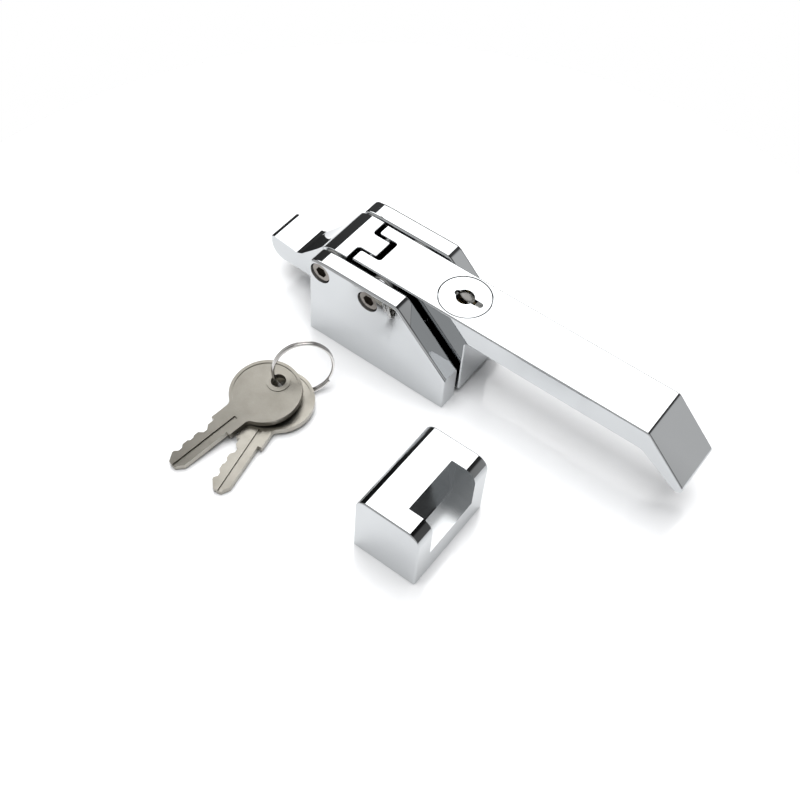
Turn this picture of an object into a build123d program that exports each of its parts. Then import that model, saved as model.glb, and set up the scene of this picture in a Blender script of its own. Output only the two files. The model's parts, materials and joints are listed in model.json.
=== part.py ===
from build123d import *
import os
from math import atan2, cos, degrees, hypot, radians, sin

# Keyed window lock: a latch housing with a swinging hook and a key-locked lever, the keeper
# that the hook presses on, and two keys on a split ring. Millimetres. +X runs along the lever
# from the nose to the grip, +Z points away from the window frame, z = 0 is the mounting face.
# The origin is the centre of the housing's four fixing holes.

# ---- housing ----
housing_length = 52.0
housing_width = 33.0
housing_height = 31.8
cheek_thickness = 6.4
cheek_top_length = 32.4        # flat top of a cheek, before its long slope
cheek_end_height = 13.0        # upright end under the slope
front_round = 2.6              # front top edge of cheeks and hook
crown_length = 7.5             # the polished top falls away towards the front edge
crown_drop = 0.45
slope_round = 4.0              # between a cheek's flat top and its slope
floor_length = 30.0
floor_thickness = 6.0
cheek_edge_round = 0.9
fixing_core_radius = 1.65      # M4 tapping size
fixing_depth = 10.0
fixing_first = 11.0            # first fixing hole behind the front
fixing_spacing = 24.0

# ---- pivots ----
hook_axis_setback = 4.2        # hook pivot behind the housing front
axis_spacing = 18.0            # from hook pivot to lever pivot
axis_depth = 4.5               # pivots below the top
pivot_screw_radius = 2.0       # M4
screw_head_radius = 3.5
screw_head_height = 3.4
socket_across_flats = 3.4
socket_depth = 2.0
counterbore_radius = 3.65
counterbore_depth = 4.0
screw_grip = 5.0               # thread depth in the far cheek
thread_chamfer = 0.25
sleeve_radius = 3.0
running_gap = 0.05
thrust_washer_radius = 3.9
disc_spring_thickness = 0.3

# ---- hook ----
hook_side_gap = 0.6            # between hook and cheek
shoulder_setback = 8.8         # hook shoulders behind the housing front
nose_width = 12.6
nose_reach = 23.8              # nose tip in front of the housing
nose_top = 17.6
nose_underside = 9.5
nose_tip_round = 5.3
nose_bevel_length = 1.2
nose_bevel_drop = 0.3
pad_length = 8.3
pad_drop = 0.8                 # the pad falls this much towards the groove
groove_reach = 11.0            # lowest point of the groove, from the tip
groove_depth = 1.0
ramp_foot = 13.3               # the ramp starts this far from the tip
flare_length = 11.0            # in front of the housing
ramp_low_rise = 0.6            # the ramp starts this much above the nose's top
ramp_top_reach = 0.9           # its upper end, in front of the housing
ramp_top_drop = 2.4            # and below the top
ramp_hollow = 0.25
tongue_width = 7.2
tongue_height = 8.2
tongue_corner_round = 1.2
tongue_end_round = 0.4
joint_edge_round = 0.25        # top edges around the joint of hook and lever
drive_pin_radius = 1.25
drive_pin_rise = 2.25          # drive pin above the line of the pivots
drive_pin_slack = 0.12
drive_pin_inset = 0.3          # pin ends inside the lever's sides
drive_pin_chamfer = 0.2
tongue_wall = 0.95
swing = 30.0                   # lever lift and hook lift, degrees

# ---- lever ----
lever_far_gap = 0.8            # between lever and far cheek
lever_near_gap = 1.2           # near cheek, where the disc spring sits
arm_thickness = 7.8
lever_reach = 113.2            # bend, behind the housing front
grip_angle = 45.0
grip_length = 19.4
grip_root_setback = 0.8        # underside bends this much before the top does
grip_tip_thickness = 3.6
bend_round = 1.8
bend_inner_round = 3.0
lever_edge_round = 0.5
prong_gap = 1.5                # between hook shoulders and lever prongs
prong_round = 0.9
tongue_side_gap = 0.9
tongue_end_gap = 2.0
hub_depth = 9.5                # prongs and hub, below the top
hub_back = 5.2                 # hub behind the lever pivot
boss_wall = 1.2
boss_root_round = 1.0
boss_front_wall = 1.65
boss_clearance = 2.2           # boss above the mounting face

# ---- key cylinder ----
cylinder_setback = 45.6        # cylinder axis behind the housing front
cap_radius = 8.22
cap_thickness = 1.35
cap_gap = 0.18
cap_edge_round = 0.3
flange_thickness = 1.0
plug_radius = 4.9
shell_wall = 0.95
shell_bottom = 9.2
clip_thickness = 0.8
clip_width = 1.05
clip_overlap = 0.5             # clip past the bore, under the lever
clip_rise = 0.7                # clip above the shell's bottom
plug_shoulder_drop = 0.2       # plug below the shell's bottom
keyhole_radius = 2.9
keyhole_arm_short = 3.7
keyhole_arm_long = 6.2
keyhole_width = 2.2
dish_depth = 1.7               # round dish in the plug that leads the key in
ward_width = 0.9
ward_depth = 0.45
keyway_length = 6.4
keyway_offset = 0.2
keyway_width = 2.3
keyway_floor = 2.4             # above the plug's lower end
wafer_count = 5
wafer_first = 3.6              # lowest wafer slot above the shell's bottom
wafer_cover = 1.0              # metal left above the highest slot
wafer_thickness = 0.8
wafer_slot_height = 1.0
wafer_end_gap = 0.8            # wafer ends inside the plug's radius
wafer_width = 5.0
wafer_side_gap = 0.05
wafer_window_gap = 0.15        # keyway window of a wafer, wider than the keyway
ear_width = 1.0
ear_length = 0.7
ear_gap = 0.15
spring_seat = 0.55             # spring's line beside the wafer
spring_end_gap = 0.25
spring_coil_radius = 0.3
spring_wire_radius = 0.07
spring_length = 2.8
spring_turns = 6

# ---- cam ----
cam_width = 6.0
cam_reach = 12.3
cam_thickness = 2.4
cam_bottom = 5.0
cam_hub_radius = 4.5
tail_square = 5.0
cam_screw_radius = 1.5         # M3
cam_screw_head_radius = 2.75
cam_screw_head_height = 1.9
cam_screw_grip = 4.0
cam_pocket_gap = 0.5
cam_tip_round = 1.5
cam_screw_round = 0.6
cross_length = 3.2             # cross recess of the cam screw
cross_width = 0.7
cross_depth = 1.1

# ---- keeper ----
keeper_length = 21.3
keeper_width = 32.6
keeper_height = 23.4
keeper_centre_x = 70.95        # behind the housing front
keeper_centre_y = -54.5
pocket_side_gap = 3.65         # beside the nose
pocket_depth = 8.3
pocket_draft = 1.2             # back wall leans out by this much
keeper_front_round = 4.2
keeper_back_round = 3.8
keeper_edge_round = 0.5
keeper_fixing_radius = 2.1     # M5 tapping size
keeper_fixing_depth = 12.0
keeper_fixing_spacing = 20.0
keeper_fixing_inset = 6.2      # behind the keeper's back face

# ---- keys and ring ----
key_head_radius = 11.1
key_thickness = 2.0
key_hole_radius = 2.3
key_hole_offset = 5.1
key_rim = 1.0
key_panel_depth = 0.25
key_hole_ring = 1.4
key_neck_width = 8.6
key_neck_length = 17.4
key_blade_width = 6.0
key_length = 35.6
key_tip_back = 2.5             # the tip's two slopes start here
key_tip_half = 1.2
key_cuts = [1.2, 0.5, 0.9]
key_cut_first = 4.2
key_cut_pitch = 4.6
key_cut_root = 1.3
key_groove_width = 1.3
key_groove_depth = 0.5
key_groove_offset = 0.9        # from the blade's middle, on opposite sides
key_arch_radius = 7.0          # raised neck that reaches into the head's panel
key_arch_inset = 2.8
key_neck_round = 2.0
ring_radius = 9.2
ring_wire_radius = 0.45
ring_turns = 1.9
ring_turn_gap = 0.03

os.makedirs("parts", exist_ok=True)


def save(part, name):
    part.label = name
    export_step(part, "parts/" + name + ".step")


# Places worked out from the sizes above
front_x = -(fixing_first + fixing_spacing / 2)
back_x = front_x + housing_length
top_z = housing_height
half_gap = housing_width / 2 - cheek_thickness
hook_width = 2 * (half_gap - hook_side_gap)
lever_width = 2 * half_gap - lever_far_gap - lever_near_gap
lever_y = (lever_near_gap - lever_far_gap) / 2
fixing_row = half_gap + cheek_thickness / 2
axis_z = top_z - axis_depth
hook_x = front_x + hook_axis_setback
lever_x = hook_x + axis_spacing
shoulder_x = front_x + shoulder_setback
prong_x = shoulder_x + prong_gap
pin_x = (hook_x + lever_x) / 2
pin_z = axis_z + drive_pin_rise
tongue_x = pin_x + drive_pin_radius + tongue_wall
slot_x = tongue_x + tongue_end_gap
bend_x = front_x + lever_reach
arm_z = top_z - arm_thickness
hub_z = top_z - hub_depth
cylinder_x = front_x + cylinder_setback
shell_radius = plug_radius + running_gap + shell_wall
shell_bore = shell_radius + running_gap
boss_front_x = cylinder_x - shell_bore - boss_front_wall
boss_back_x = cylinder_x + shell_bore + boss_wall
cap_z = top_z - cap_thickness
seat_z = cap_z - running_gap - flange_thickness
clip_z = shell_bottom + clip_rise
shelf_z = clip_z + clip_thickness
plug_z = shell_bottom - plug_shoulder_drop
clip_radius = shell_bore + clip_overlap
clip_groove_radius = clip_radius - clip_width
cam_top = cam_bottom + cam_thickness
through = 2 * (housing_length + lever_reach)
crown_start = (front_x + crown_length, top_z)
crown_edge = (front_x + 0.8 * front_round, top_z - crown_drop)
lever_plane = Plane.XZ.offset(-lever_y)


def crown(end, end_direction):
    """The polished top's fall towards the front, and the rounded edge after it."""
    fall = TangentArc(crown_start, crown_edge, tangent=(-1, 0))
    Spline(crown_edge, end, tangents=[fall % 1, end_direction])


# ---- housing: two cheeks on a short floor ----
with BuildPart() as housing:
    with BuildSketch(Plane.XZ):
        with BuildLine():
            Line((front_x, 0), (back_x, 0))
            Line((back_x, 0), (back_x, cheek_end_height))
            Line((back_x, cheek_end_height), (front_x + cheek_top_length, top_z))
            Line((front_x + cheek_top_length, top_z), (front_x + crown_length, top_z))
            crown((front_x, crown_edge[1] - front_round), (0, -1))
            Line((front_x, crown_edge[1] - front_round), (front_x, 0))
        make_face()
        slope_start = vertices().filter_by_position(
            Axis.X, front_x + cheek_top_length - 0.01, front_x + cheek_top_length + 0.01
        )
        fillet(slope_start, slope_round)
    extrude(amount=housing_width / 2, both=True)
    with BuildSketch(Plane.XZ):
        with BuildLine():
            Polyline(
                (front_x - 1, floor_thickness),
                (front_x + floor_length, floor_thickness),
                (front_x + floor_length, -1),
                (back_x + 1, -1),
                (back_x + 1, top_z + 1),
                (front_x - 1, top_z + 1),
                close=True,
            )
        make_face()
    extrude(amount=half_gap, both=True, mode=Mode.SUBTRACT)
    cheek_edges = housing.faces().filter_by(Axis.Y).edges().filter_by(
        lambda e: e.center().Z > cheek_end_height and abs(e.tangent_at(0.5).X) > 0.2
    )
    fillet(cheek_edges, cheek_edge_round)
    # pivot screws: counterbored near cheek, blind thread in the far cheek
    with Locations(
        Location((hook_x, -housing_width / 2, axis_z), (90, 0, 0)),
        Location((lever_x, -housing_width / 2, axis_z), (90, 0, 0)),
    ):
        CounterBoreHole(
            pivot_screw_radius,
            counterbore_radius,
            counterbore_depth,
            depth=housing_width - cheek_thickness + screw_grip,
        )
    # fixing holes up into the cheeks
    with Locations((0, 0, 0)):
        with GridLocations(fixing_spacing, 2 * fixing_row, 2, 2):
            Cylinder(
                fixing_core_radius,
                fixing_depth,
                align=(Align.CENTER, Align.CENTER, Align.MIN),
                mode=Mode.SUBTRACT,
            )
    # pocket in the far cheek that catches the turned cam
    with BuildSketch(Plane.XY.offset(cam_bottom - cam_pocket_gap)):
        with Locations((cylinder_x, lever_y)):
            Circle(cam_reach + cam_pocket_gap)
        with Locations((cylinder_x + cam_width / 2 + 1, half_gap - 1)):
            Rectangle(4 * cam_width, cam_reach, align=(Align.MAX, Align.MIN), mode=Mode.INTERSECT)
    extrude(amount=cam_thickness + 2 * cam_pocket_gap, mode=Mode.SUBTRACT)
save(housing.part, "housing")


# ---- pivot screws: socket head screws across the cheeks ----
with BuildPart() as pivot_screws:
    for axis_x in (hook_x, lever_x):
        head_seat = -housing_width / 2 + counterbore_depth
        with BuildSketch(Plane.XZ.offset(-head_seat)):
            with Locations((axis_x, axis_z)):
                Circle(screw_head_radius)
        extrude(amount=screw_head_height)
        with BuildSketch(Plane.XZ.offset(-head_seat)):
            with Locations((axis_x, axis_z)):
                Circle(pivot_screw_radius)
        extrude(amount=-(housing_width - counterbore_depth - cheek_thickness + screw_grip))
        with BuildSketch(Plane.XZ.offset(screw_head_height - head_seat)):
            with Locations((axis_x, axis_z)):
                RegularPolygon(socket_across_flats / 2, 6, major_radius=False)
        extrude(amount=-socket_depth, mode=Mode.SUBTRACT)
    chamfer(pivot_screws.edges().filter_by(GeomType.CIRCLE).group_by(Axis.Y)[0], thread_chamfer)
save(pivot_screws.part, "pivot_screws")


# ---- sleeves that the hook and the lever turn on ----
def pivot_sleeve(axis_x):
    with BuildPart() as sleeve:
        with BuildSketch(Plane.XZ):
            with Locations((axis_x, axis_z)):
                Circle(sleeve_radius)
                Circle(pivot_screw_radius + running_gap, mode=Mode.SUBTRACT)
        extrude(amount=half_gap, both=True)
    return sleeve.part


save(pivot_sleeve(hook_x), "hook_sleeve")
save(pivot_sleeve(lever_x), "lever_sleeve")


# ---- thrust washers beside the hook and the lever ----
def thrust_washers(axis_x, spans):
    with BuildPart() as washers:
        for inner, outer in spans:
            with BuildSketch(Plane.XZ.offset(-inner)):
                with Locations((axis_x, axis_z)):
                    Circle(thrust_washer_radius)
                    Circle(sleeve_radius + running_gap, mode=Mode.SUBTRACT)
            extrude(amount=inner - outer)
    return washers.part


hook_side = hook_width / 2 + running_gap
lever_far_side = half_gap - lever_far_gap + running_gap
lever_near_side = half_gap - lever_near_gap + running_gap
wall_side = half_gap - running_gap
spring_side = wall_side - 2 * disc_spring_thickness
save(thrust_washers(hook_x, [(hook_side, wall_side), (-hook_side, -wall_side)]), "hook_washers")
save(
    thrust_washers(lever_x, [(lever_far_side, wall_side), (-lever_near_side, -spring_side)]),
    "lever_washers",
)


# ---- disc spring that gives the lever its friction ----
with BuildPart() as disc_spring:
    cone = Plane(origin=(lever_x, 0, axis_z), x_dir=(1, 0, 0), z_dir=(0, 0, 1))
    inner_r = sleeve_radius + running_gap
    with BuildSketch(cone):
        with BuildLine():
            Polyline(
                (inner_r, -spring_side),
                (inner_r, -spring_side - disc_spring_thickness),
                (thrust_washer_radius, -wall_side),
                (thrust_washer_radius, disc_spring_thickness - wall_side),
                close=True,
            )
        make_face()
    revolve(axis=Axis((lever_x, 0, axis_z), (0, 1, 0)))
save(disc_spring.part, "disc_spring")


# ---- hook: nose, neck and tongue in one casting ----
def pin_in_hook(turn):
    """Drive pin seen from the hook's pivot, when lever and hook have both turned."""
    a = radians(turn)
    out = pin_x - lever_x
    up = drive_pin_rise
    x = axis_spacing + out * cos(a) - up * sin(a)
    z = out * sin(a) + up * cos(a)
    return x * cos(a) - z * sin(a), x * sin(a) + z * cos(a)


pin_radii = [hypot(*pin_in_hook(swing * step / 6)) for step in range(7)]
pin_travel = max(pin_radii) - min(pin_radii)
pin_middle = (max(pin_radii) + min(pin_radii)) / 2
pin_bearing = atan2(drive_pin_rise, pin_x - hook_x)

nose_x = front_x - nose_reach
pad_end = (nose_x + pad_length, nose_top - pad_drop)
groove_low = (nose_x + groove_reach, nose_top - groove_depth)
ramp_start = (nose_x + ramp_foot, nose_top + ramp_low_rise)
ramp_end = (front_x - ramp_top_reach, top_z - ramp_top_drop)
ramp_middle = (
    (ramp_start[0] + ramp_end[0]) / 2 + ramp_hollow,
    (ramp_start[1] + ramp_end[1]) / 2 - ramp_hollow,
)
pad_start = (nose_x + nose_bevel_length, nose_top)
nose_face_top = (nose_x, nose_top - nose_bevel_drop)
flare_x = front_x - flare_length

with BuildPart() as hook:
    with BuildSketch(Plane.XZ):
        with BuildLine():
            Line((shoulder_x, top_z), crown_start)
            crown(ramp_end, (ramp_middle[0] - ramp_end[0], ramp_middle[1] - ramp_end[1]))
            ThreePointArc(ramp_end, ramp_middle, ramp_start)
            ThreePointArc(ramp_start, groove_low, pad_end)
            Line(pad_end, pad_start)
            Line(pad_start, nose_face_top)
            Line(nose_face_top, (nose_x, nose_underside + nose_tip_round))
            RadiusArc(
                (nose_x, nose_underside + nose_tip_round),
                (nose_x + nose_tip_round, nose_underside),
                -nose_tip_round,
            )
            Line((nose_x + nose_tip_round, nose_underside), (shoulder_x, nose_underside))
            Line((shoulder_x, nose_underside), (shoulder_x, top_z))
        make_face()
    extrude(amount=hook_width / 2, both=True)
    # narrow nose that flares out to the body
    with BuildSketch():
        with BuildLine():
            Line((nose_x - 1, nose_width / 2), (flare_x, nose_width / 2))
            TangentArc((flare_x, nose_width / 2), (front_x, hook_width / 2), tangent=(1, 0))
            Line((front_x, hook_width / 2), (front_x, hook_width))
            Line((front_x, hook_width), (nose_x - 1, hook_width))
            Line((nose_x - 1, hook_width), (nose_x - 1, nose_width / 2))
        make_face()
        mirror(about=Plane.XZ)
    extrude(amount=2 * top_z, mode=Mode.SUBTRACT)
    with BuildSketch(Plane.XZ):
        with Locations((shoulder_x, top_z)):
            Rectangle(
                2 * (tongue_x - shoulder_x), 2 * tongue_height, align=(Align.CENTER, Align.CENTER)
            )
        with Locations((shoulder_x - 1, top_z)):
            Rectangle(through, tongue_height, align=(Align.MIN, Align.MAX), mode=Mode.INTERSECT)
    extrude(amount=tongue_width / 2, both=True)
    inner_corners = hook.edges().filter_by(Axis.Z).filter_by_position(
        Axis.X, shoulder_x - 0.01, shoulder_x + 0.01
    ).filter_by_position(Axis.Y, -hook_width / 2 + 1, hook_width / 2 - 1)
    fillet(inner_corners, tongue_corner_round)
    fillet(hook.edges().filter_by(Axis.Z).group_by(Axis.X)[-1], tongue_end_round)
    fillet(hook.faces().sort_by(Axis.Z)[-1].edges(), joint_edge_round)
    with BuildSketch(Plane.XZ):
        with Locations((hook_x, axis_z)):
            Circle(sleeve_radius + running_gap)
    extrude(amount=hook_width, both=True, mode=Mode.SUBTRACT)
    with BuildSketch(Plane.XZ):
        with Locations(
            (hook_x + pin_middle * cos(pin_bearing), axis_z + pin_middle * sin(pin_bearing))
        ):
            SlotCenterToCenter(
                pin_travel, 2 * (drive_pin_radius + drive_pin_slack), rotation=degrees(pin_bearing)
            )
    extrude(amount=hook_width, both=True, mode=Mode.SUBTRACT)
save(hook.part, "hook")


# ---- drive pin across the lever's fork ----
with BuildPart() as drive_pin:
    with BuildSketch(lever_plane):
        with Locations((pin_x, pin_z)):
            Circle(drive_pin_radius)
    extrude(amount=lever_width / 2 - drive_pin_inset, both=True)
    chamfer(drive_pin.edges().filter_by(GeomType.CIRCLE), drive_pin_chamfer)
save(drive_pin.part, "drive_pin")


# ---- lever: fork, hub, cylinder boss, arm and bent grip ----
run = (cos(radians(grip_angle)), -sin(radians(grip_angle)))
inward = (-sin(radians(grip_angle)), -cos(radians(grip_angle)))
grip_tip = (bend_x + grip_length * run[0], top_z + grip_length * run[1])
grip_tip_in = (
    grip_tip[0] + grip_tip_thickness * inward[0],
    grip_tip[1] + grip_tip_thickness * inward[1],
)
grip_end = (
    grip_tip[0] + grip_tip_thickness / 2 * (run[0] + inward[0]),
    grip_tip[1] + grip_tip_thickness / 2 * (run[1] + inward[1]),
)
grip_root = (bend_x - grip_root_setback, arm_z)

with BuildPart() as lever:
    with BuildSketch(lever_plane):
        with BuildLine():
            Line((prong_x, top_z), (bend_x, top_z))
            Line((bend_x, top_z), grip_tip)
            ThreePointArc(grip_tip, grip_end, grip_tip_in)
            Line(grip_tip_in, grip_root)
            Line(grip_root, (boss_back_x, arm_z))
            Line((boss_back_x, arm_z), (boss_back_x, boss_clearance))
            Line((boss_back_x, boss_clearance), (boss_front_x, boss_clearance))
            Line((boss_front_x, boss_clearance), (boss_front_x, arm_z))
            Line((boss_front_x, arm_z), (lever_x + hub_back, hub_z))
            Line((lever_x + hub_back, hub_z), (prong_x, hub_z))
            Line((prong_x, hub_z), (prong_x, top_z))
        make_face()
    extrude(amount=lever_width / 2, both=True)
    cross_edges = lever.edges().filter_by(Axis.Y).filter_by_position(Axis.X, bend_x - 2, bend_x + 2)
    fillet(cross_edges.sort_by(Axis.Z)[-1], bend_round)
    fillet(cross_edges.sort_by(Axis.Z)[0], bend_inner_round)
    boss_root = lever.edges().filter_by(Axis.Y).filter_by_position(
        Axis.X, boss_back_x - 0.01, boss_back_x + 0.01
    ).filter_by_position(Axis.Z, arm_z - 0.1, arm_z + 0.1)
    fillet(boss_root, boss_root_round)
    fillet(lever.faces().filter_by(Axis.Y).edges(), lever_edge_round)
    # fork around the hook's tongue
    with BuildSketch(Plane.XY.offset(top_z + 1)):
        with Locations((prong_x - 1, lever_y)):
            Rectangle(
                slot_x - prong_x + 1,
                tongue_width + 2 * tongue_side_gap,
                align=(Align.MIN, Align.CENTER),
            )
    extrude(amount=-top_z, mode=Mode.SUBTRACT)
    fork_corners = lever.edges().filter_by(Axis.Z).filter_by(
        lambda e: abs(e.center().Y - lever_y) < tongue_width / 2 + tongue_side_gap + 0.01
        and e.center().X < slot_x + 0.01
    )
    fillet(fork_corners, prong_round)
    fork_edges = lever.edges().filter_by_position(Axis.Z, top_z - 0.001, top_z + 0.001).filter_by(
        lambda e: abs(e.center().Y - lever_y) < lever_width / 2 - lever_edge_round - 0.1
        and e.center().X < slot_x + 0.01
    )
    fillet(fork_edges, joint_edge_round)
    # pivot bore and drive pin hole
    with BuildSketch(lever_plane):
        with Locations((lever_x, axis_z)):
            Circle(sleeve_radius + running_gap)
        with Locations((pin_x, pin_z)):
            Circle(drive_pin_radius)
    extrude(amount=lever_width, both=True, mode=Mode.SUBTRACT)
    # seat for the key cylinder
    with Locations((cylinder_x, lever_y, top_z)):
        CounterBoreHole(shell_bore, cap_radius + cap_gap, top_z - seat_z, depth=top_z - shelf_z + 1)
    # skirt under the seat, open below, to the front and to the cam's side
    with BuildSketch(Plane.XY.offset(shelf_z)):
        with Locations((boss_back_x - boss_wall, lever_y)):
            Rectangle(
                boss_back_x - boss_front_x, lever_width - 2 * boss_wall, align=(Align.MAX, Align.CENTER)
            )
    extrude(amount=-shelf_z, mode=Mode.SUBTRACT)
    with BuildSketch(Plane.XY.offset(cam_top + 1)):
        with Locations((boss_back_x - 2 * boss_wall, lever_y)):
            Rectangle(
                boss_back_x - boss_front_x, lever_width, align=(Align.MAX, Align.MIN)
            )
    extrude(amount=-shelf_z, mode=Mode.SUBTRACT)
save(lever.part, "lever")


# ---- key cylinder shell, fixed in the lever ----
with BuildPart() as cylinder_shell:
    with BuildSketch(Plane.XY.offset(shell_bottom)):
        with Locations((cylinder_x, lever_y)):
            Circle(shell_radius)
    extrude(amount=seat_z - shell_bottom)
    with BuildSketch(Plane.XY.offset(seat_z)):
        with Locations((cylinder_x, lever_y)):
            Circle(cap_radius)
    extrude(amount=flange_thickness)
    with Locations((cylinder_x, lever_y, seat_z + flange_thickness)):
        Hole(plug_radius + running_gap)
    with BuildSketch(Plane.XY.offset(clip_z)):
        with Locations((cylinder_x, lever_y)):
            Circle(shell_radius + 1)
            Circle(clip_groove_radius, mode=Mode.SUBTRACT)
    extrude(amount=clip_thickness, mode=Mode.SUBTRACT)
save(cylinder_shell.part, "cylinder_shell")


# ---- clip that holds the shell in the lever ----
with BuildPart() as cylinder_clip:
    with BuildSketch(Plane.XY.offset(clip_z)):
        with Locations((cylinder_x, lever_y)):
            Circle(clip_radius)
            Circle(clip_groove_radius, mode=Mode.SUBTRACT)
            Rectangle(
                2 * shell_radius, 1.4 * shell_radius, align=(Align.MIN, Align.CENTER), mode=Mode.SUBTRACT
            )
    extrude(amount=clip_thickness)
save(cylinder_clip.part, "cylinder_clip")


# ---- plug: keyway, wafer slots and a square tail ----
lowest_wafer = shell_bottom + wafer_first
highest_wafer = cap_z - dish_depth - wafer_cover - wafer_slot_height
wafer_pitch = (highest_wafer - lowest_wafer) / (wafer_count - 1)
wafer_heights = [lowest_wafer + wafer_pitch * n for n in range(wafer_count)]
wafer_length = 2 * (plug_radius - wafer_end_gap)
spring_y = lever_y + wafer_width / 2 + spring_seat
ear_x = cylinder_x + spring_length / 2 + spring_end_gap + ear_length / 2
ear_y = lever_y + wafer_width / 2 + (ear_width - 2 * wafer_side_gap) / 2
dish_radius = (keyhole_radius**2 + dish_depth**2) / (2 * dish_depth)

with BuildPart() as plug:
    with BuildSketch(Plane.XY.offset(plug_z)):
        with Locations((cylinder_x, lever_y)):
            Circle(plug_radius)
    extrude(amount=cap_z - plug_z)
    with BuildSketch(Plane.XY.offset(cam_top)):
        with Locations((cylinder_x, lever_y)):
            Circle(tail_square / 2 + 1.0)
    extrude(amount=plug_z - cam_top)
    with BuildSketch(Plane.XY.offset(cam_bottom)):
        with Locations((cylinder_x, lever_y)):
            Rectangle(tail_square, tail_square)
    extrude(amount=cam_thickness)
    with BuildSketch(Plane.XY.offset(plug_z + keyway_floor)):
        with Locations((cylinder_x + keyway_offset, lever_y)):
            Rectangle(keyway_length, keyway_width)
            with Locations((key_groove_offset, keyway_width / 2), (-key_groove_offset, -keyway_width / 2)):
                Rectangle(ward_width, 2 * ward_depth, mode=Mode.SUBTRACT)
    extrude(amount=cap_z, mode=Mode.SUBTRACT)
    with Locations((cylinder_x, lever_y, cap_z + dish_radius - dish_depth)):
        Sphere(dish_radius, mode=Mode.SUBTRACT)
    for height in wafer_heights:
        with BuildSketch(Plane.XY.offset(height)):
            with Locations((cylinder_x, lever_y)):
                Rectangle(3 * plug_radius, wafer_width + 2 * wafer_side_gap)
            with Locations((ear_x + ear_length / 2 + ear_gap, ear_y)):
                Rectangle(
                    spring_length + ear_length + 2 * (spring_end_gap + ear_gap),
                    ear_width + 2 * ear_gap,
                    align=(Align.MAX, Align.CENTER),
                )
        extrude(amount=wafer_slot_height, mode=Mode.SUBTRACT)
    with BuildSketch(Plane.XY.offset(cam_bottom)):
        with Locations((cylinder_x, lever_y)):
            Circle(cam_screw_radius)
    extrude(amount=cam_screw_grip, mode=Mode.SUBTRACT)
save(plug.part, "plug")


# ---- wafer tumblers, lying in the plug ----
with BuildPart() as wafers:
    for height in wafer_heights:
        with BuildSketch(Plane.XY.offset(height + (wafer_slot_height - wafer_thickness) / 2)):
            with Locations((cylinder_x, lever_y)):
                Rectangle(wafer_length, wafer_width)
            with Locations((ear_x, ear_y)):
                Rectangle(ear_length, ear_width)
            with Locations((cylinder_x + keyway_offset, lever_y)):
                Rectangle(
                    keyway_length + 2 * wafer_window_gap,
                    keyway_width + 2 * wafer_window_gap,
                    mode=Mode.SUBTRACT,
                )
        extrude(amount=wafer_thickness)
save(wafers.part, "wafers")


# ---- one small coil spring beside each wafer ----
def coil_spring(height):
    start = Vector(cylinder_x - spring_length / 2, spring_y, height + wafer_slot_height / 2)
    with BuildPart() as spring:
        with BuildLine():
            coil = Helix(
                spring_length / spring_turns,
                spring_length,
                spring_coil_radius,
                center=start,
                direction=(1, 0, 0),
            )
        with BuildSketch(Plane(origin=coil @ 0, z_dir=coil % 0)):
            Circle(spring_wire_radius)
        sweep(is_frenet=True)
    return spring.part


with BuildPart() as wafer_springs:
    for height in wafer_heights:
        add(coil_spring(height))
save(wafer_springs.part, "wafer_springs")


# ---- plug cap: the bright face with the keyhole ----
with BuildPart() as plug_cap:
    with BuildSketch(Plane.XY.offset(cap_z)):
        with Locations((cylinder_x, lever_y)):
            Circle(cap_radius)
            Circle(keyhole_radius, mode=Mode.SUBTRACT)
            with Locations(((keyhole_arm_long - keyhole_arm_short) / 2, 0)):
                SlotOverall(
                    keyhole_arm_long + keyhole_arm_short, keyhole_width, mode=Mode.SUBTRACT
                )
    extrude(amount=cap_thickness)
    rim = plug_cap.edges().filter_by(GeomType.CIRCLE).group_by(Axis.Z)[-1].sort_by(SortBy.RADIUS)[-1]
    fillet(rim, cap_edge_round)
save(plug_cap.part, "plug_cap")


# ---- cam that turns into the far cheek ----
with BuildPart() as cam:
    with BuildSketch(Plane.XY.offset(cam_bottom)):
        with Locations((cylinder_x, lever_y)):
            Circle(cam_hub_radius)
            Rectangle(cam_reach, cam_width, align=(Align.MAX, Align.CENTER))
            Rectangle(tail_square + 2 * running_gap, tail_square + 2 * running_gap, mode=Mode.SUBTRACT)
    extrude(amount=cam_thickness)
    cam_tip = cam.edges().filter_by(Axis.Z).group_by(Axis.X)[0]
    fillet(cam_tip, cam_tip_round)
save(cam.part, "cam")


# ---- screw that holds the cam on the plug ----
with BuildPart() as cam_screw:
    with BuildSketch(Plane.XY.offset(cam_bottom - cam_screw_head_height)):
        with Locations((cylinder_x, lever_y)):
            Circle(cam_screw_head_radius)
    extrude(amount=cam_screw_head_height)
    fillet(cam_screw.edges().filter_by(GeomType.CIRCLE).group_by(Axis.Z)[0], cam_screw_round)
    with BuildSketch(Plane.XY.offset(cam_bottom)):
        with Locations((cylinder_x, lever_y)):
            Circle(cam_screw_radius)
    extrude(amount=cam_screw_grip)
    with BuildSketch(Plane.XY.offset(cam_bottom - cam_screw_head_height)):
        with Locations((cylinder_x, lever_y)):
            Rectangle(cross_length, cross_width)
            Rectangle(cross_width, cross_length)
    extrude(amount=cross_depth, mode=Mode.SUBTRACT)
save(cam_screw.part, "cam_screw")


# ---- keeper: a block with a pocket open to the top and to the housing side ----
keeper_x = front_x + keeper_centre_x
keeper_front_x = keeper_x + keeper_length / 2
keeper_back_x = keeper_x - keeper_length / 2
pocket_z = nose_underside
pocket_width = nose_width + 2 * pocket_side_gap

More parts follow.
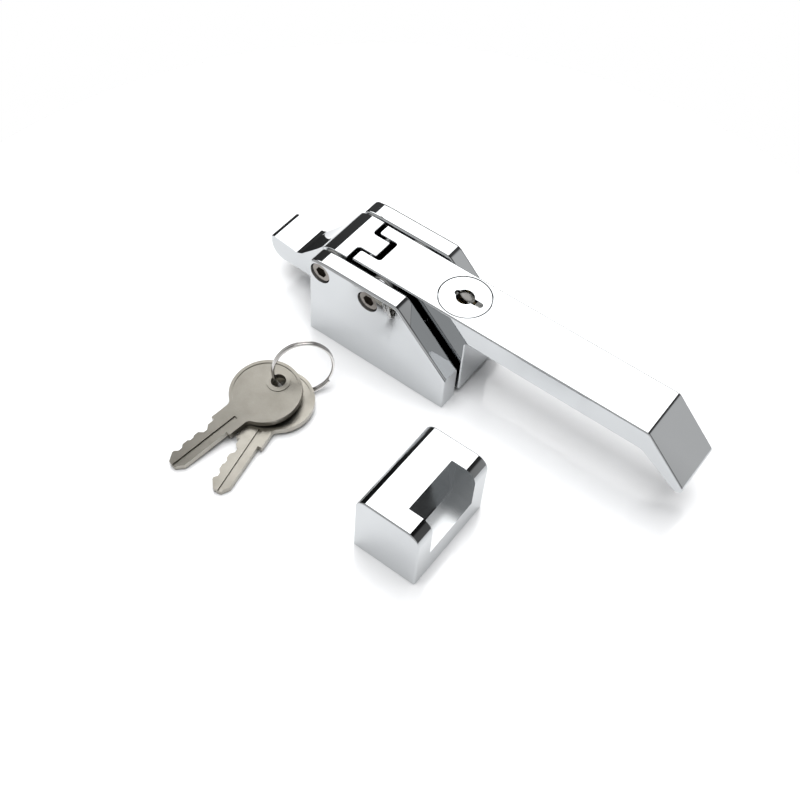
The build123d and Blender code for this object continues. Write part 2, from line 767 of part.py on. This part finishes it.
with BuildPart() as keeper:
    with BuildSketch(Plane.XY):
        with Locations((keeper_x, keeper_centre_y)):
            Rectangle(keeper_length, keeper_width)
    extrude(amount=keeper_height)
    fillet(keeper.edges().filter_by(Axis.Y).group_by(Axis.Z)[-1].sort_by(Axis.X)[-1], keeper_front_round)
    fillet(keeper.edges().filter_by(Axis.Y).group_by(Axis.Z)[-1].sort_by(Axis.X)[0], keeper_back_round)
    side_faces = keeper.faces().filter_by(Axis.Y)
    fillet(side_faces.edges().filter_by(lambda e: e.center().Z > 0.1), keeper_edge_round)
    with BuildSketch(Plane.XZ.offset(-keeper_centre_y)):
        with BuildLine():
            Polyline(
                (keeper_front_x + 1, pocket_z),
                (keeper_front_x - pocket_depth + pocket_draft, pocket_z),
                (keeper_front_x - pocket_depth, keeper_height),
                (keeper_front_x - pocket_depth, keeper_height + 1),
                (keeper_front_x + 1, keeper_height + 1),
                close=True,
            )
        make_face()
    extrude(amount=pocket_width / 2, both=True, mode=Mode.SUBTRACT)
    with Locations((keeper_back_x + keeper_fixing_inset, keeper_centre_y, 0)):
        with GridLocations(1, keeper_fixing_spacing, 1, 2):
            Cylinder(
                keeper_fixing_radius,
                keeper_fixing_depth,
                align=(Align.CENTER, Align.CENTER, Align.MIN),
                mode=Mode.SUBTRACT,
            )
save(keeper.part, "keeper")


# ---- keys: flat, round-headed, with a stepped neck and one cut edge ----
def flat_key(hole, heading, lift, tilt):
    """A key whose hole is centred at `hole`, its blade along `heading` degrees, tip tilted down."""
    h = radians(heading)
    t = radians(tilt)
    along = Vector(cos(h) * cos(t), sin(h) * cos(t), -sin(t))
    across = Vector(-sin(h), cos(h), 0)
    head = Vector(front_x + hole[0], hole[1], lift) + along * key_hole_offset
    plane = Plane(origin=head, x_dir=along, z_dir=along.cross(across))
    with BuildPart() as key:
        with BuildSketch(plane):
            Circle(key_head_radius)
            Rectangle(key_neck_length, key_neck_width, align=(Align.MIN, Align.CENTER))
            fillet(vertices().sort_by(Axis.X)[:2], key_neck_round)
            with BuildLine():
                Polyline(
                    (0, -key_blade_width / 2),
                    (key_length - key_tip_back, -key_blade_width / 2),
                    (key_length, -key_tip_half),
                    (key_length, key_tip_half),
                    (key_length - key_tip_back, key_blade_width / 2),
                    (0, key_blade_width / 2),
                    close=True,
                )
            make_face()
            for n, depth in enumerate(key_cuts):
                with Locations((key_neck_length + key_cut_first + key_cut_pitch * n, -key_blade_width / 2)):
                    Trapezoid(key_cut_root + 4 * depth, 2 * depth, 45, mode=Mode.SUBTRACT)
            with Locations((-key_hole_offset, 0)):
                Circle(key_hole_radius, mode=Mode.SUBTRACT)
        extrude(amount=key_thickness / 2, both=True)
        for side in (1, -1):
            face_plane = plane.offset(side * (key_thickness / 2 - key_panel_depth))
            with BuildSketch(face_plane):
                Circle(key_head_radius - key_rim)
                with Locations((key_head_radius + key_arch_radius - key_arch_inset, 0)):
                    Circle(key_arch_radius, mode=Mode.SUBTRACT)
                with Locations((-key_hole_offset, 0)):
                    Circle(key_hole_radius + key_hole_ring, mode=Mode.SUBTRACT)
            extrude(amount=side * key_thickness, mode=Mode.SUBTRACT)
            with BuildSketch(plane.offset(side * (key_thickness / 2 - key_groove_depth))):
                with Locations((key_head_radius + 1.0, side * key_groove_offset)):
                    Rectangle(key_length, key_groove_width, align=(Align.MIN, Align.CENTER))
            extrude(amount=side * key_thickness, mode=Mode.SUBTRACT)
    return key.part


save(flat_key((12.1, -42.3), -79.4, 2.9, 2.6), "key_lower")
save(flat_key((10.6, -44.0), -100.0, 6.45, 7.5), "key_upper")


# ---- split ring: two turns of wire through both keys ----
ring_centre = Vector(front_x + 14.5, -37.2, ring_radius + ring_wire_radius + 0.1)
ring_normal = Vector(0.736, -0.640, 0.218)
with BuildPart() as key_ring:
    ring_pitch = 2 * ring_wire_radius + ring_turn_gap
    ring_plane = Plane(origin=ring_centre - ring_normal * ring_pitch, z_dir=ring_normal)
    with BuildLine():
        coil = Helix(
            ring_pitch, ring_turns * ring_pitch, ring_radius, center=ring_plane.origin, direction=ring_normal
        )
    with BuildSketch(Plane(origin=coil @ 0, z_dir=coil % 0)):
        Circle(ring_wire_radius)
    sweep(is_frenet=True)
save(key_ring.part, "key_ring")
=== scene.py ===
import json
from math import cos, radians, sin

import bmesh
import bpy
from mathutils import Matrix, Vector


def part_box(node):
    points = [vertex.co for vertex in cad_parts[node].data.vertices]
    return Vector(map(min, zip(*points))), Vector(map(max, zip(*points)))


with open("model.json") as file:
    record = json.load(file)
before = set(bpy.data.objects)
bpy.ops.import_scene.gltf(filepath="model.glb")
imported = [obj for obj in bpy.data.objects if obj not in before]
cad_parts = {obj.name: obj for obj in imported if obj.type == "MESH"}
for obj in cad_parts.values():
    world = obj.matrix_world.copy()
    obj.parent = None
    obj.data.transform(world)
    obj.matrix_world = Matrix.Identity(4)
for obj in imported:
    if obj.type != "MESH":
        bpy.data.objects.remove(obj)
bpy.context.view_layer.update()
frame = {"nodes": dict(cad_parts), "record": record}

nodes = frame["nodes"]

# Metres, in the part's own frame: +X from the nose to the grip, +Z away from the mounting face.


# ---- shader maths written as Python ----
class Value:
    """A shader socket that takes part in Python expressions."""

    def __init__(self, shading, socket):
        self.shading = shading
        self.socket = socket

    def output(self, name):
        """Another output of the same node."""
        return Value(self.shading, self.socket.node.outputs[name])

    def math(self, operation, first, second):
        return self.shading.node("Math", {"operation": operation}, {0: first, 1: second})

    def __add__(self, other):
        return self.math("ADD", self, other)

    __radd__ = __add__

    def __sub__(self, other):
        return self.math("SUBTRACT", self, other)

    def __rsub__(self, other):
        return self.math("SUBTRACT", other, self)

    def __mul__(self, other):
        return self.math("MULTIPLY", self, other)

    __rmul__ = __mul__

    def __gt__(self, other):
        return self.math("GREATER_THAN", self, other)


class Shading:
    """A node tree that is filled by one method."""

    def __init__(self, tree):
        self.tree = tree
        tree.nodes.clear()

    def feed(self, socket, value):
        if isinstance(value, Value):
            self.tree.links.new(value.socket, socket)
        else:
            socket.default_value = value

    def node(self, kind, settings=None, sockets=None, out=0):
        """Adds a node: its settings first, then the values or links of its sockets."""
        node = self.tree.nodes.new("ShaderNode" + kind)
        for name, value in (settings or {}).items():
            if name == "stops":
                stops = node.color_ramp.elements
                while len(stops) < len(value):
                    stops.new(0.5)
                for stop, (position, tone) in zip(stops, value):
                    stop.position = position
                    stop.color = (tone, tone, tone, 1)
            else:
                setattr(node, name, value)
        for name, value in (sockets or {}).items():
            self.feed(node.inputs[name], value)
        return Value(self, node.outputs[out]) if node.outputs else None


class Finish(Shading):
    """A procedural material: one principled shader and what varies over the piece."""

    def __init__(self, name, base, roughness, metallic=1.0):
        self.material = bpy.data.materials.new(name)
        self.material.use_nodes = True
        super().__init__(self.material.node_tree)
        shader = self.node("BsdfPrincipled")
        self.node("OutputMaterial", None, {0: shader})
        self.shader = shader.socket.node
        self.put("Base Color", (*base, 1))
        self.put("Roughness", roughness)
        self.put("Metallic", metallic)

    def put(self, socket, value):
        """Sets one of the shader's sockets, or links a value to it."""
        self.feed(self.shader.inputs[socket], value)

    def place(self):
        """Position on the piece, in metres."""
        return self.node("TexCoord", out="Object")

    def noise(self, scale, detail=2.0, roughness=0.5, stretch=None):
        where = self.place()
        if stretch:
            where = self.node("Mapping", None, {"Vector": where, "Scale": stretch})
        return self.node(
            "TexNoise",
            None,
            {"Vector": where, "Scale": scale, "Detail": detail, "Roughness": roughness},
        )

    def blend(self, mask, first, second):
        return self.node("Mix", {"data_type": "RGBA"}, {0: mask, 6: first, 7: second}, out=2)

    def bump(self, height, depth, under=None):
        sockets = {"Height": height, "Distance": depth, "Strength": 1.0}
        if under:
            sockets["Normal"] = under
        return self.node("Bump", None, sockets)

    def inside(self, low, high):
        """1 inside a box given by two of its corners, 0 outside."""
        spot = self.node("SeparateXYZ", None, {0: self.place()})
        mask = None
        for axis in range(3):
            for sign, edge in ((1, low[axis]), (-1, high[axis])):
                step = (spot.output(axis) - edge) * sign > 0.0
                mask = step if mask is None else mask * step
        return mask


def between(value, low, high):
    """value from 0 to 1 becomes low to high."""
    return value * (high - low) + low


def shade(tone, amount):
    """The same colour, lighter or darker."""
    return tuple(min(1.0, part * amount) for part in tone) + (1,)


# ---- finishes ----
CHROME = (0.575, 0.59, 0.60)
HAIRLINE_DEPTH = 0.0000008
SATIN_ROUGHNESS = 0.24


def chrome(name, base, wave=0.00002, haze=0.03, satin=None):
    """Bright plate: a slow wave in the polish, hairline scratches and a little haze.

    wave is the depth of the slow wave. satin is a box, as two corners, where the casting was
    plated but not polished."""
    f = Finish(name, base, haze)
    cloud = f.noise(scale=60, detail=3)
    hairline = f.noise(scale=900, detail=2, roughness=0.6, stretch=(1, 0.06, 1))
    f.put("Base Color", f.blend(cloud, shade(base, 0.97), shade(base, 1.03)))
    dull = between(cloud * hairline, low=haze * 0.6, high=haze * 1.6)
    if satin:
        dull = dull + f.inside(*satin) * SATIN_ROUGHNESS
    f.put("Roughness", dull)
    polish = f.bump(f.noise(scale=38, detail=1), depth=wave)
    f.put("Normal", f.bump(hairline, depth=HAIRLINE_DEPTH, under=polish))
    return f.material


def turned_steel(name, base, roughness):
    """Machined or rolled steel with fine lines and darker patches."""
    f = Finish(name, base, roughness)
    grain = f.noise(scale=2600, detail=3, roughness=0.6, stretch=(1, 1, 0.1))
    patch = f.noise(scale=240)
    f.put("Base Color", f.blend(patch, shade(base, 0.86), shade(base, 1.08)))
    f.put("Roughness", between(grain, low=roughness * 0.7, high=roughness * 1.35))
    f.put("Normal", f.bump(grain, depth=0.000004))
    return f.material


def key_plate(name, base, warm):
    """Nickel plate on a stamped blank: fine orange peel, rubbed patches and faint stains."""
    f = Finish(name, base, roughness=0.3)
    peel = f.noise(scale=1500, detail=3, roughness=0.65)
    stain = f.noise(scale=170, detail=4, roughness=0.6)
    f.put("Base Color", f.blend(stain, (*base, 1), (*warm, 1)))
    f.put("Roughness", between(stain * peel, low=0.28, high=0.52))
    f.put("Normal", f.bump(peel, depth=0.00002))
    return f.material


def moulded(name, base):
    """Plain moulded plastic with a faint grain."""
    f = Finish(name, base, roughness=0.5, metallic=0.0)
    grain = f.noise(scale=1800)
    f.put("Base Color", f.blend(grain, shade(base, 0.94), shade(base, 1.04)))
    f.put("Roughness", between(grain, low=0.42, high=0.6))
    f.put("Normal", f.bump(grain, depth=0.000008))
    return f.material


finishes = {
    "chrome_casting": chrome("chrome_casting", CHROME),
    "chrome_face": chrome("chrome_face", CHROME, wave=0.000004, haze=0.02),
    "screw_steel": turned_steel("screw_steel", (0.27, 0.25, 0.23), roughness=0.16),
    "sleeve_steel": turned_steel("sleeve_steel", (0.60, 0.60, 0.60), roughness=0.2),
    "acetal": moulded("acetal", (0.16, 0.16, 0.155)),
    "spring_steel": turned_steel("spring_steel", (0.48, 0.48, 0.50), roughness=0.25),
    "nickel_brass": chrome("nickel_brass", (0.66, 0.65, 0.62), wave=0.00001, haze=0.3),
    "brass_wafer": turned_steel("brass_wafer", (0.78, 0.60, 0.28), roughness=0.3),
    "zinc_steel": turned_steel("zinc_steel", (0.66, 0.67, 0.70), roughness=0.28),
    "key_nickel": key_plate(
        "key_nickel", base=(0.42, 0.402, 0.362), warm=(0.31, 0.292, 0.252)
    ),
    "ring_steel": chrome("ring_steel", (0.74, 0.72, 0.70), wave=0.000002, haze=0.24),
}

# The keeper's pocket is satin on its floor and side walls, in front of its polished back wall.
POCKET_HALF_WIDTH = 0.01
POCKET_SATIN_BACK = 0.0069     # behind the keeper's front face
POCKET_SATIN_FRONT = 0.0001
POCKET_SATIN_LOW = 0.0094
POCKET_SATIN_HIGH = 0.05
keeper_low, keeper_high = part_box("keeper")
keeper_middle = (keeper_low.y + keeper_high.y) / 2
pocket = (
    (keeper_high.x - POCKET_SATIN_BACK, keeper_middle - POCKET_HALF_WIDTH, POCKET_SATIN_LOW),
    (keeper_high.x - POCKET_SATIN_FRONT, keeper_middle + POCKET_HALF_WIDTH, POCKET_SATIN_HIGH),
)
keeper_chrome = chrome("keeper_chrome", CHROME, satin=pocket)

for part in frame["record"]["subparts"]:
    node = nodes[part["node"]]
    node.data.materials.clear()
    node.data.materials.append(finishes[part["material_slot"]])
nodes["keeper"].data.materials[0] = keeper_chrome


# ---- table ----
TABLE_CENTRE = (0.028, -0.033)
TABLE_RADIUS = 0.19
TABLE_HEIGHT = -0.0001         # just under the pieces, so that no faces coincide
TABLE_SEGMENTS = 96


def stage_disc(name, radius, height):
    bm = bmesh.new()
    bmesh.ops.create_circle(bm, cap_ends=True, segments=TABLE_SEGMENTS, radius=radius)
    bmesh.ops.translate(bm, vec=(*TABLE_CENTRE, height), verts=bm.verts)
    mesh = bpy.data.meshes.new(name)
    bm.to_mesh(mesh)
    bm.free()
    disc = bpy.data.objects.new(name, mesh)
    bpy.context.scene.collection.objects.link(disc)
    return disc


table = Finish("table_white", (0.84, 0.845, 0.855), roughness=0.12, metallic=0.0)
table.put("Specular IOR Level", 0.8)
floor = stage_disc("table_top", TABLE_RADIUS, TABLE_HEIGHT)
floor.data.materials.append(table.material)


# ---- lights ----
def softbox(name, centre, aim, width, depth, power):
    lamp = bpy.data.lights.new(name, "AREA")
    lamp.shape = "RECTANGLE"
    lamp.size = width
    lamp.size_y = depth
    lamp.energy = power
    holder = bpy.data.objects.new(name, lamp)
    bpy.context.scene.collection.objects.link(holder)
    holder.location = centre
    direction = Vector(aim) - Vector(centre)
    holder.rotation_euler = direction.to_track_quat("-Z", "Y").to_euler()
    return holder


softbox(
    "softbox_top",
    centre=(-0.345, 0.62, 0.9),
    aim=(-0.345, 0.62, 0),
    width=0.93,
    depth=0.95,
    power=7.0,
)
fill = softbox(
    "fill_above",
    centre=(0.02, -0.12, 0.9),
    aim=(0.02, -0.03, 0),
    width=0.8,
    depth=0.8,
    power=12,
)
fill.visible_glossy = False

# ---- room: plain white where it is seen, and darker and uneven where the chrome mirrors it ----
SIDE_GLOW = ((0.0, 0.075), (0.42, 0.075), (0.6, 0.62), (1.0, 0.7))

studio = bpy.data.worlds.new("studio")
bpy.context.scene.world = studio
studio.use_nodes = True
room = Shading(studio.node_tree)
ray = room.node("LightPath")
direction = room.node("SeparateXYZ", None, {0: room.node("TexCoord", out="Generated")})
side_glow = room.node("ValToRGB", {"stops": SIDE_GLOW}, {0: direction.output("X")})


def fade(start, end, at_start, at_end):
    """Changes from one strength to another as the direction turns towards +Y."""
    limits = {"From Min": start, "From Max": end, "To Min": at_start, "To Max": at_end}
    return room.node("MapRange", None, {"Value": direction.output("Y"), **limits})


# the bright end of the room stands behind the lock
bright_end = side_glow * fade(0.46, 0.60, at_start=0.15, at_end=1.0)
# a pale wall in front of it shows only in the chrome
front_wall = ray.output("Is Glossy Ray") * fade(-0.3, -0.05, at_start=0.55, at_end=0.0)
mirrored = room.node("Background", None, {"Color": bright_end + front_wall})
backdrop = room.node("Background", None, {"Color": (1, 1, 1, 1), "Strength": 1.0})
seen = room.node(
    "MixShader", None, {0: ray.output("Is Camera Ray"), 1: mirrored, 2: backdrop}
)
room.node("OutputWorld", None, {0: seen})

bpy.context.scene.view_settings.view_transform = "Standard"

# ---- camera ----
CAMERA_PLACE = (0.13899, -0.21161, 0.29916)
CAMERA_TURN = radians(32.692)
CAMERA_RISE = radians(53.039)
CAMERA_ROLL = radians(5.104)

out = Vector(
    (
        sin(CAMERA_TURN) * cos(CAMERA_RISE),
        -cos(CAMERA_TURN) * cos(CAMERA_RISE),
        sin(CAMERA_RISE),
    )
)
right = Vector((cos(CAMERA_TURN), sin(CAMERA_TURN), 0))
up = out.cross(right)
lens = bpy.data.cameras.new("camera")
lens.sensor_width = 36
lens.lens = 54.87
lens.clip_start = 0.01
camera = bpy.data.objects.new("camera", lens)
bpy.context.scene.collection.objects.link(camera)
bpy.context.scene.camera = camera
axes = (
    cos(CAMERA_ROLL) * right + sin(CAMERA_ROLL) * up,
    cos(CAMERA_ROLL) * up - sin(CAMERA_ROLL) * right,
    out,
)
camera.matrix_world = Matrix.Translation(CAMERA_PLACE) @ Matrix(axes).transposed().to_4x4()
